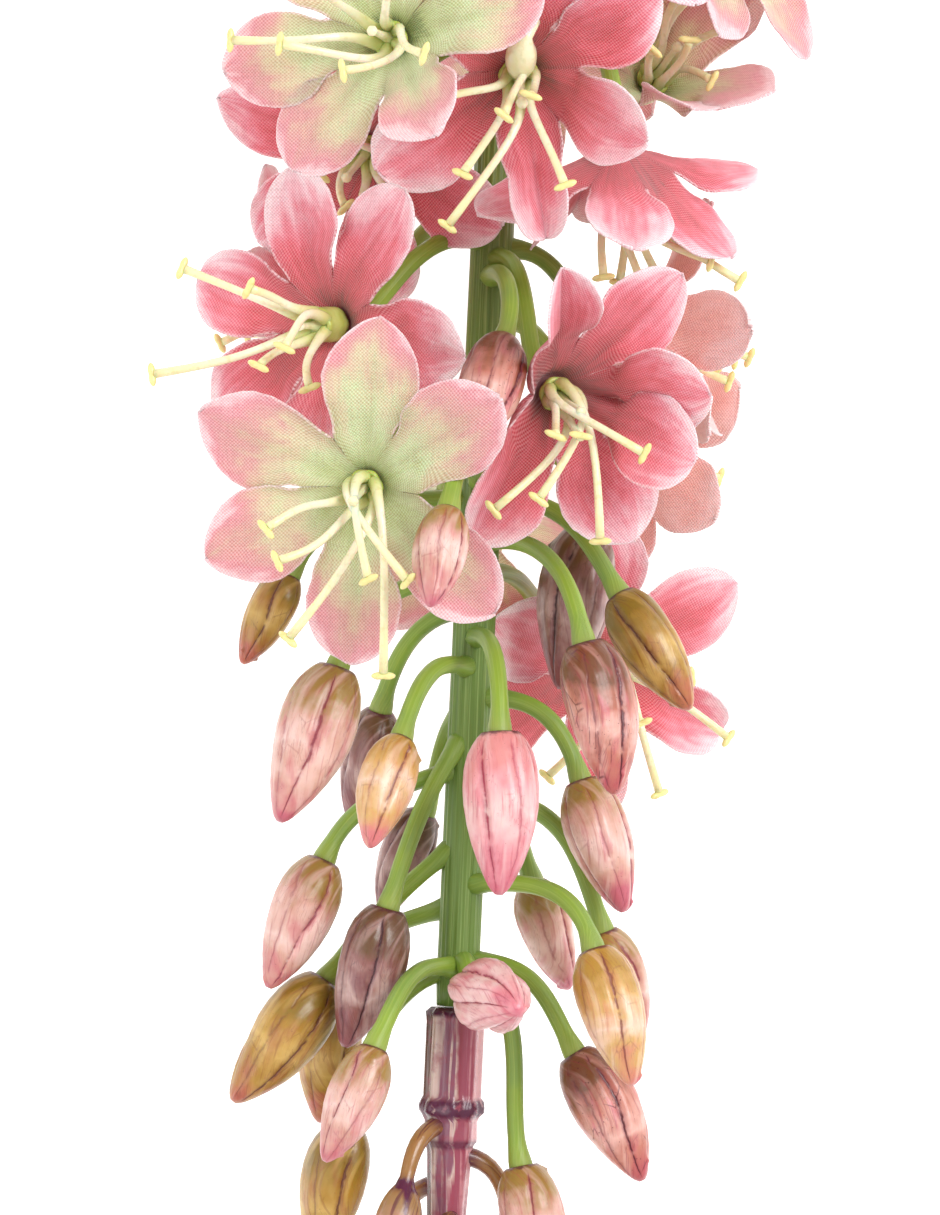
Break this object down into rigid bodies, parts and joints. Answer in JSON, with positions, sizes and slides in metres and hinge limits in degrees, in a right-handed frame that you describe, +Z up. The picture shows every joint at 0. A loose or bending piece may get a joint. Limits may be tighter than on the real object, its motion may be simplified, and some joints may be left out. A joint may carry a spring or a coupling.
{
  "type": "artificial foxtail lily stem",
  "caption": "Cut foxtail lily stem with fabric star flowers, long moulded stamens and drooping buds on curved stalks along a straight green stem, lying on its back.",
  "frame": {"origin": "on the surface that the stem lies on, under the middle of its bounding box", "axes": "+Y along the stem from its budded tip to its cut end, +X across the stem, +Z up from the surface"},
  "size_m": [0.1084, 0.5842, 0.122],
  "materials": {
    "petal_pale": "matte, plain weave",
    "petal_deep": "matte, plain weave",
    "petal_salmon": "matte, plain weave",
    "stamens": "glossy, slightly translucent",
    "bud_blush": "satin, painted",
    "bud_pink": "satin, painted",
    "bud_veined": "satin, painted",
    "bud_golden": "satin, painted",
    "bud_olive": "satin, painted",
    "bud_dusky": "satin, painted",
    "stem": "satin, ridged",
    "tip": "satin, streaked"
  },
  "bodies": {
    "root": {"corolla_01": "petal_pale", "stamens_01": "stamens", "corolla_02": "petal_deep", "stamens_02": "stamens", "corolla_03": "petal_deep", "stamens_03": "stamens", "corolla_04": "petal_pale", "stamens_04": "stamens", "corolla_05": "petal_deep", "stamens_05": "stamens", "corolla_06": "petal_deep", "stamens_06": "stamens", "corolla_07": "petal_pale", "stamens_07": "stamens", "corolla_08": "petal_deep", "stamens_08": "stamens", "corolla_09": "petal_salmon", "stamens_09": "stamens", "corolla_10": "petal_salmon", "stamens_10": "stamens", "corolla_11": "petal_deep", "stamens_11": "stamens", "corolla_12": "petal_pale", "stamens_12": "stamens", "corolla_13": "petal_deep", "stamens_13": "stamens", "corolla_14": "petal_deep", "stamens_14": "stamens", "corolla_15": "petal_deep", "stamens_15": "stamens", "corolla_16": "petal_pale", "stamens_16": "stamens", "corolla_17": "petal_pale", "stamens_17": "stamens", "bud_01": "bud_veined", "bud_02": "bud_blush", "bud_03": "bud_olive", "bud_04": "bud_blush", "bud_05": "bud_dusky", "bud_06": "bud_golden", "bud_07": "bud_pink", "bud_08": "bud_dusky", "bud_09": "bud_olive", "bud_10": "bud_veined", "bud_11": "bud_blush", "bud_12": "bud_dusky", "bud_13": "bud_blush", "bud_14": "bud_dusky", "bud_15": "bud_blush", "bud_16": "bud_golden", "bud_17": "bud_blush", "bud_18": "bud_pink", "bud_19": "bud_olive", "bud_20": "bud_olive", "bud_21": "bud_blush", "bud_22": "bud_veined", "bud_23": "bud_olive", "bud_24": "bud_blush", "stem": "stem", "tip": "tip"}
  },
  "joints": []
}
